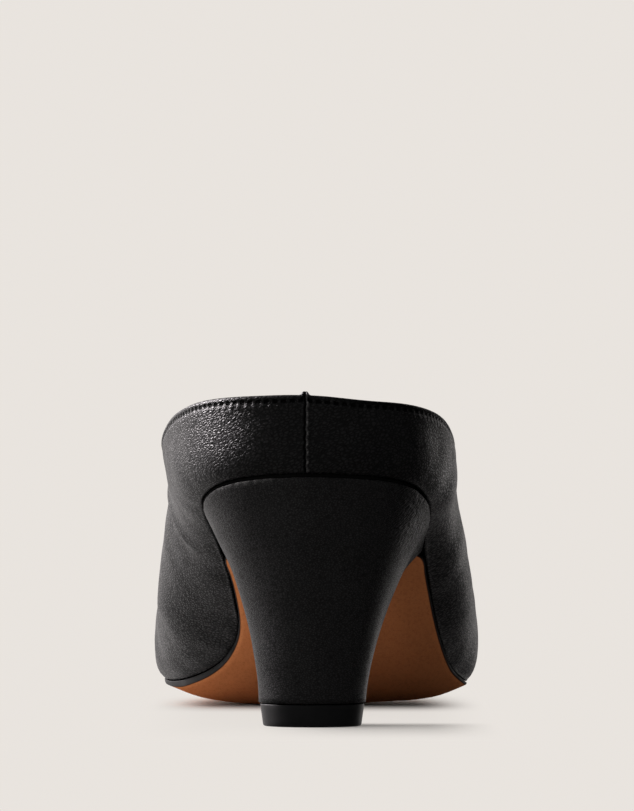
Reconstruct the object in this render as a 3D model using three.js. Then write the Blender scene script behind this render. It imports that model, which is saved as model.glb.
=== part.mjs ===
// A right low heel shoe: a soft leather upper with a low back and a wide open collar, on a thin
// leather sole and a flared, leather covered heel. It stands on its top lift and its forefoot.
// Millimetres, +Z up, toe towards +Y, outer (lateral) side towards +X.
import * as THREE from "three";

// Driving dimensions of the upper
const LENGTH = 238; // back of the heel to the toe tip, along the floor
const BALL_WIDTH = 78.3; // bottom edge of the upper, across the ball
const SEAT_WIDTH = 55.2; // bottom edge of the upper, across the heel seat
const BACK_RISE = 18.5; // heel seat to the topline, at the back seam
const THROAT_HEIGHT = 47; // floor to the topline at the throat
const WALL = 1.8; // outer leather and lining together
const SEAM_RAISE = 0.45; // how far the back seam stands out of the leather
const SEAM_WIDTH = 1.6; // across the raised back seam
const SEAM_PEAK = 0.9; // how far the seam's folded end stands above the topline

// Driving dimensions of the bottom
const HEEL_HEIGHT = 61; // floor to the top of the heel, at the back
const TOE_SPRING = 9.7; // floor to the underside of the sole at the toe tip
const SOLE_THICKNESS = 2;
const SOLE_CROWN = 5.3; // how far the sole's edge lies above its middle at the ball
const CROWN_POWER = 2.2; // how that rise grows towards the edge
const CROWN_LEAN = 0.12; // the sole is lowest this share of half its width to the inner side
const TREAD_CUT = 0.35; // depth that the flat spot under the ball takes off the round sole
const SOLE_MARGIN = 0.5; // how far the sole stands out past the upper's bottom edge
const SOLE_BEVEL = 0.7; // how far its lower edge is drawn in
const SOLE_CORNER = 4; // radius of the sole's two corners at the heel breast
const INSOLE_THICKNESS = 3;

// Driving dimensions of the heel
const BREAST = 66; // back of the shoe to the heel's front edge, under the sole
const LIFT_HEIGHT = 5.4; // top lift, the rubber tip that wears
const LIFT_WIDTH = 25.8;
const LIFT_LENGTH = 25;
const LIFT_BACK = 11; // back of the shoe to the back of the top lift
const LIFT_OFFSET = -1.15; // the tip's middle lies a little to the inner side
const LIFT_TAPER = 0.75; // how far the tip draws in, each side, down to the floor
const LIFT_INSET = 0.3; // step in from the leather cover to the rubber
const BREAST_HOLLOW = 2.5; // depth of the heel breast's hollow at the tip
const HEEL_LIP = 0.7; // rounding of the cover over the heel's top edge

const GAP = 0.3; // clearance between neighbouring pieces

// How finely the pieces are faceted
const AROUND = 96;
const UP = 17;
const ACROSS = 8;
const SOLE_ROWS = 40;
const INSOLE_ROWS = 30;
const HEEL_ROWS = 16;
const HEEL_RINGS = 12;

// The underside of the sole along its middle. at is a share of LENGTH, heel and toe are shares of
// the rise at the back and at the toe, crown is a share of SOLE_CROWN.
const PROFILE = [
  { at: 0.0, heel: 1.0, toe: 0, crown: 0 },
  { at: 0.05, heel: 0.966, toe: 0, crown: 0 },
  { at: 0.1, heel: 0.917, toe: 0, crown: 0 },
  { at: 0.15, heel: 0.864, toe: 0, crown: 0 },
  { at: 0.2, heel: 0.801, toe: 0, crown: 0 },
  { at: 0.25, heel: 0.722, toe: 0, crown: 0 },
  { at: 0.3, heel: 0.621, toe: 0, crown: 0 },
  { at: 0.35, heel: 0.506, toe: 0, crown: 0.02 },
  { at: 0.4, heel: 0.393, toe: 0, crown: 0.06 },
  { at: 0.45, heel: 0.286, toe: 0, crown: 0.13 },
  { at: 0.5, heel: 0.19, toe: 0, crown: 0.22 },
  { at: 0.55, heel: 0.109, toe: 0, crown: 0.38 },
  { at: 0.6, heel: 0.048, toe: 0, crown: 0.63 },
  { at: 0.65, heel: 0.01, toe: 0, crown: 0.88 },
  { at: 0.7, heel: 0, toe: 0, crown: 1.0 },
  { at: 0.75, heel: 0, toe: 0.035, crown: 0.97 },
  { at: 0.8, heel: 0, toe: 0.134, crown: 0.85 },
  { at: 0.85, heel: 0, toe: 0.284, crown: 0.7 },
  { at: 0.9, heel: 0, toe: 0.49, crown: 0.5 },
  { at: 0.95, heel: 0, toe: 0.73, crown: 0.28 },
  { at: 1.0, heel: 0, toe: 1.0, crown: 0.1 },
];

// Stations round the upper. Each is a section from its bottom edge to its topline, as a curve with
// two handles. at and topAt are shares of LENGTH. across and topAcross are shares of half the
// width, which goes from the seat's to the ball's by the share in ball. top goes from 0 at the
// throat's height to 1 at the collar's. The lower handle goes out by belly and up by lift, and
// the upper one out by arch and down by drop: out in half ball widths, up and down in throat heights.
const BACK = {
  at: 0.006, across: -0.105, ball: 0, topAt: 0.0025, topAcross: -0.094, top: 1,
  belly: 0.072, lift: 0.085, arch: 0.023, drop: 0.149,
};
const LATERAL = [
  { at: 0.021, across: 0.455, ball: 0, topAt: 0.013, topAcross: 0.417, top: 0.962,
    belly: 0.087, lift: 0.072, arch: 0.02, drop: 0.149 },
  { at: 0.056, across: 0.783, ball: 0, topAt: 0.046, topAcross: 0.815, top: 0.933,
    belly: 0.107, lift: 0.064, arch: 0.015, drop: 0.16 },
  { at: 0.113, across: 0.955, ball: 0, topAt: 0.099, topAcross: 1.069, top: 0.866,
    belly: 0.133, lift: 0.051, arch: 0.008, drop: 0.17 },
  { at: 0.189, across: 1.0, ball: 0, topAt: 0.176, topAcross: 1.2, top: 0.727,
    belly: 0.198, lift: 0.043, arch: 0.046, drop: 0.213 },
  { at: 0.273, across: 0.875, ball: 0.2, topAt: 0.26, topAcross: 1.144, top: 0.555,
    belly: 0.222, lift: 0.043, arch: 0.046, drop: 0.234 },
  { at: 0.366, across: 0.844, ball: 0.5, topAt: 0.345, topAcross: 1.0, top: 0.388,
    belly: 0.212, lift: 0.053, arch: 0.153, drop: 0.277 },
  { at: 0.454, across: 0.854, ball: 0.75, topAt: 0.424, topAcross: 0.862, top: 0.236,
    belly: 0.248, lift: 0.053, arch: 0.281, drop: 0.298 },
  { at: 0.534, across: 0.872, ball: 1, topAt: 0.5, topAcross: 0.705, top: 0.121,
    belly: 0.213, lift: 0.053, arch: 0.46, drop: 0.298 },
  { at: 0.63, across: 0.986, ball: 1, topAt: 0.567, topAcross: 0.562, top: 0.048,
    belly: 0.183, lift: 0.064, arch: 0.613, drop: 0.298 },
  { at: 0.723, across: 0.96, ball: 1, topAt: 0.613, topAcross: 0.396, top: 0.015,
    belly: 0.166, lift: 0.074, arch: 0.843, drop: 0.298 },
  { at: 0.815, across: 0.812, ball: 1, topAt: 0.639, topAcross: 0.26, top: 0.005,
    belly: 0.153, lift: 0.106, arch: 0.92, drop: 0.309 },
  { at: 0.901, across: 0.562, ball: 1, topAt: 0.653, topAcross: 0.153, top: 0,
    belly: 0.14, lift: 0.149, arch: 0.958, drop: 0.309 },
  { at: 0.97, across: 0.217, ball: 1, topAt: 0.66, topAcross: 0.056, top: 0,
    belly: 0.128, lift: 0.223, arch: 0.971, drop: 0.304 },
];
const TOE = {
  at: 0.996, across: -0.153, ball: 1, topAt: 0.662, topAcross: -0.03, top: 0,
  belly: 0.123, lift: 0.266, arch: 0.971, drop: 0.298,
};
const MEDIAL = [
  { at: 0.022, across: -0.53, ball: 0, topAt: 0.018, topAcross: -0.634, top: 0.988,
    belly: 0.092, lift: 0.068, arch: 0.013, drop: 0.149 },
  { at: 0.057, across: -0.815, ball: 0, topAt: 0.057, topAcross: -0.986, top: 0.955,
    belly: 0.128, lift: 0.055, arch: 0.01, drop: 0.17 },
  { at: 0.113, across: -0.989, ball: 0, topAt: 0.116, topAcross: -1.207, top: 0.888,
    belly: 0.166, lift: 0.047, arch: 0, drop: 0.181 },
  { at: 0.181, across: -0.985, ball: 0, topAt: 0.197, topAcross: -1.348, top: 0.782,
    belly: 0.243, lift: 0.032, arch: -0.01, drop: 0.191 },
  { at: 0.269, across: -0.79, ball: 0.2, topAt: 0.277, topAcross: -1.292, top: 0.655,
    belly: 0.275, lift: 0.032, arch: -0.041, drop: 0.234 },
  { at: 0.353, across: -0.611, ball: 0.5, topAt: 0.357, topAcross: -1.095, top: 0.473,
    belly: 0.335, lift: 0.043, arch: 0.077, drop: 0.255 },
  { at: 0.437, across: -0.54, ball: 0.75, topAt: 0.437, topAcross: -0.96, top: 0.303,
    belly: 0.45, lift: 0.043, arch: 0.243, drop: 0.255 },
  { at: 0.508, across: -0.6, ball: 1, topAt: 0.508, topAcross: -0.766, top: 0.17,
    belly: 0.52, lift: 0.032, arch: 0.434, drop: 0.298 },
  { at: 0.613, across: -0.874, ball: 1, topAt: 0.571, topAcross: -0.6, top: 0.079,
    belly: 0.31, lift: 0.06, arch: 0.613, drop: 0.298 },
  { at: 0.706, across: -1.014, ball: 1, topAt: 0.618, topAcross: -0.434, top: 0.03,
    belly: 0.187, lift: 0.064, arch: 0.843, drop: 0.298 },
  { at: 0.798, across: -0.97, ball: 1, topAt: 0.641, topAcross: -0.301, top: 0.01,
    belly: 0.153, lift: 0.096, arch: 0.92, drop: 0.309 },
  { at: 0.89, across: -0.779, ball: 1, topAt: 0.655, topAcross: -0.204, top: 0,
    belly: 0.14, lift: 0.149, arch: 0.958, drop: 0.309 },
  { at: 0.966, across: -0.485, ball: 1, topAt: 0.661, topAcross: -0.117, top: 0,
    belly: 0.128, lift: 0.223, arch: 0.971, drop: 0.304 },
];
const STATIONS = [BACK, ...LATERAL, TOE, ...MEDIAL.slice().reverse()];

// Half the top lift's outline, from the middle of its back to its front corner. along is a share
// of LIFT_LENGTH, across a share of half its width.
const LIFT_OUTLINE = [
  { along: 0, across: 0 },
  { along: 0.045, across: 0.4 },
  { along: 0.18, across: 0.76 },
  { along: 0.4, across: 0.97 },
  { along: 0.62, across: 1 },
  { along: 0.86, across: 0.94 },
  { along: 0.97, across: 0.86 },
  { along: 1, across: 0.76 },
];

// Smooth curve through a table's rows, read at x
function read(rows, key, column, x) {
  const last = rows.length - 1;
  let i = 0;
  while (i < last - 1 && x > rows[i + 1][key]) i++;
  const slope = (n) => {
    const a = rows[Math.max(0, n - 1)];
    const b = rows[Math.min(last, n + 1)];
    return (b[column] - a[column]) / (b[key] - a[key]);
  };
  const span = rows[i + 1][key] - rows[i][key];
  const u = THREE.MathUtils.clamp((x - rows[i][key]) / span, 0, 1);
  const rest = 1 - u;
  return (
    rows[i][column] * (1 + 2 * u) * rest * rest +
    rows[i + 1][column] * (3 - 2 * u) * u * u +
    span * (slope(i) * u * rest * rest - slope(i + 1) * u * u * rest)
  );
}

// Height of the sole's round underside. aside is 0 along the middle, 1 at the lateral edge and -1
// at the medial one.
function underside(y, aside) {
  const at = y / LENGTH;
  const heelRise = HEEL_HEIGHT - SOLE_THICKNESS + TREAD_CUT;
  const toeRise = TOE_SPRING + TREAD_CUT;
  const keel = heelRise * read(PROFILE, "at", "heel", at) + toeRise * read(PROFILE, "at", "toe", at);
  const crown = SOLE_CROWN * Math.max(0, read(PROFILE, "at", "crown", at));
  const lean = aside + CROWN_LEAN * (1 - aside * aside);
  return keel - TREAD_CUT + crown * Math.abs(lean) ** CROWN_POWER;
}

// Height of the surface that the upper, insole and heel meet
function bottomLine(y, aside = 1) {
  return underside(y, aside) + SOLE_THICKNESS;
}

// Closed smooth loop through one point for each station
function loopOf(pointOf) {
  return new THREE.CatmullRomCurve3(STATIONS.map(pointOf), true, "centripetal");
}

function halfWidth(station) {
  return THREE.MathUtils.lerp(SEAT_WIDTH, BALL_WIDTH, station.ball) / 2;
}

const collarHeight = HEEL_HEIGHT + BACK_RISE;
const bottomEdge = loopOf((s) => new THREE.Vector3(s.across * halfWidth(s), s.at * LENGTH, 0));
const topline = loopOf(
  (s) =>
    new THREE.Vector3(
      s.topAcross * halfWidth(s),
      s.topAt * LENGTH,
      THREE.MathUtils.lerp(THROAT_HEIGHT, collarHeight, s.top),
    ),
);
const lowHandle = loopOf(
  (s) => new THREE.Vector3((s.belly * BALL_WIDTH) / 2, s.lift * THROAT_HEIGHT, 0),
);
const highHandle = loopOf(
  (s) => new THREE.Vector3((s.arch * BALL_WIDTH) / 2, s.drop * THROAT_HEIGHT, 0),
);

// Level direction away from the shoe's middle at t, which runs from 0 at the back seam over the
// lateral side and the toe back to 1
function outward(loop, t) {
  const step = 0.001;
  const before = loop.getPoint((t + 1 - step) % 1);
  const after = loop.getPoint((t + step) % 1);
  return new THREE.Vector3(after.y - before.y, before.x - after.x, 0).normalize();
}

// The upper's outer surface: t goes round it, s from its bottom edge to its topline
function outerPoint(t, s) {
  const turn = ((t % 1) + 1) % 1;
  const low = bottomEdge.getPoint(turn);
  low.z = bottomLine(low.y) + GAP;
  const high = topline.getPoint(turn);
  const lowOut = outward(bottomEdge, turn);
  const highOut = outward(topline, turn);
  const belly = lowHandle.getPoint(turn);
  const arch = highHandle.getPoint(turn);
  const lowEnd = low.clone().addScaledVector(lowOut, belly.x);
  lowEnd.z += belly.y;
  const highEnd = high.clone().addScaledVector(highOut, arch.x);
  highEnd.z -= arch.y;
  const point = new THREE.CubicBezierCurve3(low, lowEnd, highEnd, high).getPoint(s);
  const fromSeam = (Math.min(turn, 1 - turn) * bottomEdge.getLength()) / (SEAM_WIDTH / 2);
  const ridge = Math.exp(-fromSeam * fromSeam);
  point.addScaledVector(lowOut, SEAM_RAISE * ridge);
  point.z += SEAM_PEAK * ridge * s ** UP;
  return point;
}

// The wall's inner surface lies WALL inside the outer one
function innerPoint(t, s) {
  const step = 0.002;
  const along = outerPoint(t + step, s).sub(outerPoint(t - step, s));
  const up = outerPoint(t, Math.min(1, s + step)).sub(outerPoint(t, Math.max(0, s - step)));
  return outerPoint(t, s).addScaledVector(along.cross(up).normalize(), -WALL);
}

// Shares of the way round at which the upper has a column of points, closer at the back seam
function columns() {
  const seam = SEAM_WIDTH / bottomEdge.getLength();
  const list = [0, seam / 2, seam];
  for (let i = 1; i < AROUND / 2; i++) list.push(i / AROUND);
  const half = list.slice(1).map((t) => 1 - t);
  return [...list, 0.5, ...half.reverse()];
}

function geometryOf(points, triangles) {
  const solid = triangles.filter(([a, b, c]) => a !== b && b !== c && a !== c);
  const volume = solid.reduce((sum, [a, b, c]) => {
    const normal = points[b].clone().cross(points[c]);
    return sum + points[a].dot(normal);
  }, 0);
  const faces = volume < 0 ? solid.map(([a, b, c]) => [a, c, b]) : solid;
  const geometry = new THREE.BufferGeometry().setFromPoints(points);
  geometry.setIndex(faces.flat());
  geometry.computeVertexNormals();
  return geometry;
}

// Closed wall through rings of points, with the last ring joined to the first
function wallThrough(rings) {
  const count = rings[0].length;
  const triangles = [];
  rings.forEach((ring, j) => {
    const next = (j + 1) % rings.length;
    for (let i = 0; i < count; i++) {
      const after = (i + 1) % count;
      const corner = [j * count + i, j * count + after, next * count + after, next * count + i];
      triangles.push([corner[0], corner[1], corner[2]], [corner[0], corner[2], corner[3]]);
    }
  });
  return geometryOf(rings.flat(), triangles);
}

// The entries round the edge of a grid of rows: up one side, across the last row and back
function rimOf(grid) {
  const right = grid.map((row) => row[0]);
  const left = grid.map((row) => row.at(-1)).reverse();
  const way = [...right, ...grid.at(-1).slice(1, -1), ...left, ...grid[0].slice(1, -1).reverse()];
  return way.filter((entry, i) => entry !== way[(i + 1) % way.length]);
}

// Closed solid between two grids of rows, lower and upper, with rings of points round its side
// from the one to the other. A row is a list of points across, or one point where it ends.
function solidBetween(lower, upper, rings = []) {
  const points = [];
  const triangles = [];
  const across = Math.max(...lower.map((row) => row.length)) - 1;
  const last = lower.length - 1;
  const place = (grid) =>
    grid.map((row) => {
      const first = points.length;
      points.push(...row);
      return Array.from({ length: across + 1 }, (_, j) => first + (row.length > 1 ? j : 0));
    });
  const cover = (index, turned) => {
    for (let i = 0; i < last; i++)
      for (let j = 0; j < across; j++) {
        const [a, b, c, d] = [index[i][j], index[i][j + 1], index[i + 1][j + 1], index[i + 1][j]];
        triangles.push(turned ? [a, c, b] : [a, b, c], turned ? [a, d, c] : [a, c, d]);
      }
  };
  const low = place(lower);
  const high = place(upper);
  cover(low, true);
  cover(high, false);
  const loops = [rimOf(low)];
  for (const ring of rings) {
    loops.push(ring.map((_, i) => points.length + i));
    points.push(...ring);
  }
  loops.push(rimOf(high));
  for (let j = 0; j + 1 < loops.length; j++)
    loops[j].forEach((a, i) => {
      const after = (i + 1) % loops[j].length;
      const [b, c, d] = [loops[j][after], loops[j + 1][after], loops[j + 1][i]];
      triangles.push([a, c, b], [a, d, c]);
    });
  return geometryOf(points, triangles);
}

// Where the bottom edge crosses y on one side: side is 1 for the lateral half and -1 for the medial
function turnAt(y, side) {
  let near = 0;
  let far = 0.5;
  for (let i = 0; i < 40; i++) {
    const middle = (near + far) / 2;
    const turn = side > 0 ? middle : 1 - middle;
    if (bottomEdge.getPoint(turn % 1).y < y) near = middle;
    else far = middle;
  }
  return near;
}

// A point of the bottom edge, moved outward by margin. way is 0 at the back and 0.5 at the toe.
function edgePoint(way, side, margin) {
  const turn = (side > 0 ? way : 1 - way) % 1;
  return bottomEdge.getPoint(turn).addScaledVector(outward(bottomEdge, turn), margin);
}

// One row of points from the lateral edge to the medial one, at the height that level(y, aside) gives
function rowBetween(right, left, level) {
  return Array.from({ length: ACROSS + 1 }, (_, j) => {
    const share = j / ACROSS;
    const point = right.clone().lerp(left, share);
    point.z = level(point.y, 1 - 2 * share);
    return point;
  });
}

// Rows of a plate under the foot, from the back (a point at y 0) or from startY to the toe
function plateRows(count, margin, startY, level) {
  const starts = [1, -1].map((side) => (startY > 0 ? turnAt(startY, side) : 0));
  const rows = [];
  for (let i = 0; i <= count; i++) {
    const [right, left] = [1, -1].map((side, n) => {
      return edgePoint(THREE.MathUtils.lerp(starts[n], 0.5, i / count), side, margin);
    });
    const row = rowBetween(right, left, level);
    const pointed = i === count || (i === 0 && startY <= 0);
    rows.push(pointed ? row.slice(0, 1) : row);
  }
  return rows;
}

// The sole's rows have their first few drawn in, for its two round corners at the breast
function soleRows(margin, level) {
  const startY = BREAST + GAP;
  const cuts = [0, 0.08, 0.3, 0.6, 1].map((share) => share * SOLE_CORNER);
  const rows = cuts.map((cut) => {
    const drawn = SOLE_CORNER - Math.sqrt(SOLE_CORNER ** 2 - (SOLE_CORNER - cut) ** 2);
    const [right, left] = [1, -1].map((side) => edgePoint(turnAt(startY + cut, side), side, margin - drawn));
    right.y = startY + cut;
    left.y = startY + cut;
    return rowBetween(right, left, level);
  });
  const rest = plateRows(SOLE_ROWS, margin, startY + SOLE_CORNER, level);
  return [...rows, ...rest.slice(1)];
}

function makeUpper() {
  const turns = columns();
  const rings = [];
  for (let j = 0; j <= UP; j++) rings.push(turns.map((t) => outerPoint(t, j / UP)));
  for (let j = UP; j >= 0; j--) rings.push(turns.map((t) => innerPoint(t, j / UP)));
  return wallThrough(rings);
}

function makeOutsole() {
  const under = soleRows(SOLE_MARGIN - SOLE_BEVEL, (y, aside) => Math.max(0, underside(y, aside)));
  const over = soleRows(SOLE_MARGIN, bottomLine);
  return solidBetween(under, over);
}

function makeInsole() {
  const margin = -(WALL + GAP);
  const under = plateRows(INSOLE_ROWS, margin, 0, (y, aside) => bottomLine(y, aside) + GAP);
  const over = plateRows(INSOLE_ROWS, margin, 0, (y, aside) => bottomLine(y, aside) + GAP + INSOLE_THICKNESS);
  return solidBetween(under, over);
}

const liftCurve = new THREE.CatmullRomCurve3(
  LIFT_OUTLINE.map((row) => new THREE.Vector3(row.across, row.along, 0)),
  false,
  "centripetal",
);

// Rows of the top lift's outline, drawn in by inset, at height z
function liftRows(inset, z) {
  const rows = [];
  for (let i = 0; i <= HEEL_ROWS; i++) {
    const share = liftCurve.getPointAt(i / HEEL_ROWS);
    const x = share.x * (LIFT_WIDTH / 2 - inset);
    const y = LIFT_BACK + inset + share.y * (LIFT_LENGTH - 2 * inset);
    if (i === 0) {
      rows.push([new THREE.Vector3(LIFT_OFFSET, y, z)]);
      continue;
    }
    const right = new THREE.Vector3(LIFT_OFFSET + x, y, z);
    const left = new THREE.Vector3(LIFT_OFFSET - x, y, z);
    const row = rowBetween(right, left, () => z);
    row.forEach((point, j) => {
      const aside = 1 - (2 * j) / ACROSS;
      point.y -= BREAST_HOLLOW * share.y ** 2 * (1 - aside * aside);
    });
    rows.push(row);
  }
  return rows;
}

// Rows of the heel's top face, from the back to the breast, drawn in by inset and let down by drop
function seatRows(inset, drop) {
  const level = (y) => bottomLine(y) - drop;
  const starts = [1, -1].map((side) => turnAt(BREAST, side));
  const rows = [[edgePoint(0, 1, -inset)]];
  rows[0][0].z = level(rows[0][0].y);
  for (let i = 1; i <= HEEL_ROWS; i++) {
    const share = i / HEEL_ROWS;
    const [right, left] = [1, -1].map((side, n) => edgePoint(starts[n] * share, side, -inset));
    if (i === HEEL_ROWS) {
      right.y = BREAST - inset;
      left.y = BREAST - inset;
    }
    rows.push(rowBetween(right, left, level));
  }
  return rows;
}

// How far a rib of the heel has flared out at the share w of its height: the back and sides in a
// long curve, the breast's two edges in a rounder one, and the breast itself in a late, tight one
function flare(w) {
  return w ** 1.5;
}
function edgeFlare(w) {
  return 0.3 * w + 0.7 * w ** 3;
}
function breastFlare(w) {
  return 0.12 * w + 0.88 * w ** 3.4;
}

function makeHeel() {
  const foot = liftRows(0, LIFT_HEIGHT + GAP);
  const seat = seatRows(HEEL_LIP, 0);
  const shoulder = rimOf(seatRows(0, HEEL_LIP));
  const base = rimOf(foot);
  const depth = BREAST - base[0].y;
  const rings = [];
  for (let j = 1; j <= HEEL_RINGS; j++) {
    const w = j / HEEL_RINGS;
    rings.push(
      base.map((low, i) => {
        const high = shoulder[i];
        const front = THREE.MathUtils.clamp((high.y - base[0].y) / depth, 0, 1);
        const across = THREE.MathUtils.lerp(flare(w), edgeFlare(w), front ** 4);
        const along = THREE.MathUtils.lerp(flare(w), breastFlare(w), front ** 2);
        return new THREE.Vector3(
          THREE.MathUtils.lerp(low.x, high.x, across),
          THREE.MathUtils.lerp(low.y, high.y, along),
          THREE.MathUtils.lerp(low.z, high.z, w),
        );
      }),
    );
  }
  return solidBetween(foot, seat, rings);
}

function makeTopLift() {
  return solidBetween(liftRows(LIFT_INSET + LIFT_TAPER, 0), liftRows(LIFT_INSET, LIFT_HEIGHT));
}

function piece(name, geometry, color, roughness) {
  const mesh = new THREE.Mesh(geometry, new THREE.MeshStandardMaterial({ color, roughness, metalness: 0 }));
  mesh.name = name;
  return mesh;
}

const shoe = new THREE.Group();
shoe.add(
  piece("upper", makeUpper(), 0x1c1a1b, 0.5),
  piece("insole", makeInsole(), 0xb58a60, 0.7),
  piece("outsole", makeOutsole(), 0x9c6239, 0.45),
  piece("heel", makeHeel(), 0x191718, 0.5),
  piece("top_lift", makeTopLift(), 0x101011, 0.6),
);

// The origin is on the floor, under the middle of the shoe's length and width
const box = new THREE.Box3().setFromObject(shoe);
const middle = box.getCenter(new THREE.Vector3());
shoe.position.set(-middle.x, -middle.y, 0);

export default shoe;
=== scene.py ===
"""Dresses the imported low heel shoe: leather, lining, sole, heel cover, stitches, light and camera."""
import math

import bmesh
import bpy
import numpy as np
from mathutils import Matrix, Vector, noise
from mathutils.bvhtree import BVHTree


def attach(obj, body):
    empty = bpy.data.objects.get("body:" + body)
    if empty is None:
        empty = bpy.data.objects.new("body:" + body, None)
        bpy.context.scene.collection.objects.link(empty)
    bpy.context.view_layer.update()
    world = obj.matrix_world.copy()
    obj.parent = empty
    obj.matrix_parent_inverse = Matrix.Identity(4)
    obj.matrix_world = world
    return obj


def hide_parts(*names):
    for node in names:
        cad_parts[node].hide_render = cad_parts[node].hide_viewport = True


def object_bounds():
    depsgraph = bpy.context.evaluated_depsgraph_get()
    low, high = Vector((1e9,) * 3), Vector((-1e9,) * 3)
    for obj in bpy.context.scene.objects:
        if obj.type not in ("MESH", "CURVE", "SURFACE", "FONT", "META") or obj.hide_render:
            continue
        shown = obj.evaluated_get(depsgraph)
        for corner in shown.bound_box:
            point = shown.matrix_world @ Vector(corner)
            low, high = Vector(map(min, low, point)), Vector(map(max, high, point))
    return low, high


MM = 0.001

# A distance past every ramp in the materials
FAR = 1.0

# Camera, from the photograph. It looks from behind and from near the floor
PHOTO_HEIGHT = 811
FOCAL_PIXELS = 6300
HORIZON_ROW = 477
CAMERA_BEHIND = 1500 * MM
CAMERA_HEIGHT = 60 * MM
CAMERA_ASIDE = 0.4 * MM
SENSOR_MM = 36

# Reading the solids: over what gap points merge, how far faces may bend and still count as one side,
# and where rays start
MERGE = 0.004 * MM
WALL_BEND = math.radians(50)
PLATE_BEND = math.radians(25)
FOOT_BEND = math.radians(20)
RAY_FROM_BELOW = -0.2
RAY_FROM_ABOVE = 0.3

# Upper: its rounded edges and the rows and columns of its grid. Lists are in mm
WALL_TOP_ROUND = 0.75 * MM
WALL_BOTTOM_ROUND = 0.95 * MM
CAD_SEAM_REACH = 2.2 * MM
COLUMN_STEP = 0.75 * MM
SEAM_COLUMNS = [0, 0.12, 0.24, 0.36, 0.5, 0.65, 0.8, 1.0, 1.25, 1.6, 2.1, 2.8]
TOP_BAND = 7 * MM
TOP_ROWS = [6.2, 5.4, 4.7, 4.1, 3.6, 3.2, 2.8, 2.5, 2.2, 1.95, 1.7, 1.5, 1.3, 1.1, 0.95, 0.85, 0.75]
STITCH_ROW = -6
WALL_ROWS = 140
LOWER_ROWS = 34
FOLD_ROWS = 5
LINING_ROWS = 20
HEM_ROWS = 6
MARGIN_REACHES = [1.8, 3.0, 4.5, 6.0]

# Stitches along the topline, with the dents and swellings that they make
STITCH_PITCH = 2.1 * MM
STITCH_LENGTH = 1.45 * MM
STITCH_BELOW = 1.45 * MM
STITCH_SINK = 0.16 * MM
STITCH_CLEAR = 0.9 * MM
STITCH_SIDES = 6
THREAD = 0.42 * MM
DENT_HALF = (0.2, 0.38)
TRACK_HALF = (0.2 * MM, 0.55 * MM)
SWELL = 0.9 * MM
DENT_DEPTH = 0.3 * MM

# Back seam: its roll, the scalloped lip on its right, and the groove on its left, as wide as the lip
SEAM_HALF = 0.8 * MM
SEAM_RAISE = 0.45 * MM
SEAM_ROLL = 0.6
SEAM_PEAK = 0.9 * MM
SEAM_PITCH = 2.25 * MM
SEAM_CLEAR = 1.2 * MM
LIP_RAISE = 0.36 * MM
LIP_HALF = 0.24 * MM
GROOVE_DEPTH = 0.6 * MM

# The leather's relief in mm: rolls under the topline as height, place below it and width,
# and soft waves as height, size and seed
TOPLINE_ROLLS = [(0.1, 0.7, 0.45), (-0.07, 1.45, 0.35), (0.12, 3.0, 1.5)]
UPPER_WAVES = [(0.28, 26, 3.1), (0.12, 9, 7.7)]
STIFF_BAND = 5 * MM

# Creases of the upper's left side, each a chain of places in mm with its height and width
CREASES = [
    ([(-36.8, -32.0, 58.5), (-33.6, -38.8, 49.0), (-31.4, -43.8, 43.0)], 1.0, 2.3),
    ([(-38.6, -30.0, 51.0), (-35.6, -36.0, 44.0), (-33.0, -42.0, 38.5)], -0.6, 4.5),
]

# Small moves from the solids to the photograph: how much lower the joint lies at the back and the
# sole beside the ball, and how much higher the topline stands at the back and its left corner
BACK_DROP = 0.5 * MM
BACK_FROM = -62 * MM
BACK_REACH = 22 * MM
BALL_DROP_LEFT = 0.6 * MM
BALL_DROP_RIGHT = 1.1 * MM
BALL_AT = 45 * MM
BALL_REACH = 36 * MM
DROP_REACH = 12 * MM
TOP_RAISE = 0.25 * MM
CORNER_RAISE = 0.28 * MM

# The same as pairs in mm: how far the upper's sides stand out at a height, how far the heel's inner
# side is drawn in at a height, and how thick the outsole's edge is at a place along the shoe
SIDE_LEFT = [
    (10, 0), (16, -0.3), (20, -0.1), (24, 0.4), (28, 0.85), (33, 0.78), (39, 0.55), (45, 0.4), (52, 0),
]
SIDE_RIGHT = [
    (20, 0), (28, 0.35), (35, 0.55), (40, 0.35), (45, 0.15),
    (49, -0.25), (52, -0.45), (58, -0.3), (64, -0.35), (70, 0),
]
HEEL_DRAW = [
    (6, 0), (12, 0.25), (18, 0.36), (22, 0.6), (25, 0.75), (29, 0.95), (32, 1.0),
    (36, 1.0), (39, 0.85), (43, 0.45), (47, 0.3), (52, 0.2), (57, 0),
]
EDGE_LEFT = [(-20, 0.5), (0, 1.3), (30, 1.65), (55, 0.9)]
EDGE_RIGHT = [(-20, 0.45), (0, 0.5), (30, 0.5), (55, 0.5)]

# Heel cover and top lift
HEEL_ROW_STEP = 1.1 * MM
HEEL_PLACES = 180
LIFT_PLACES = 150
GATHERS = 0.09 * MM
LIFT_ROUND = 0.45 * MM
LIFT_TOP_SHARE = 0.6

# Outsole and insole
OUTSOLE_RAISE = 0.22 * MM
OUTSOLE_BULGE = 0.05 * MM
INSOLE_BULGE = 0.15 * MM
THIN_REACH = 9 * MM
LEAN_REACH = 3 * MM
FLOOR_GAP = 0.02 * MM
BAND_ROWS = 5
ROWS_PER_POINT = 3
OUTSOLE_COLUMNS = 36
INSOLE_COLUMNS = 30

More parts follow.
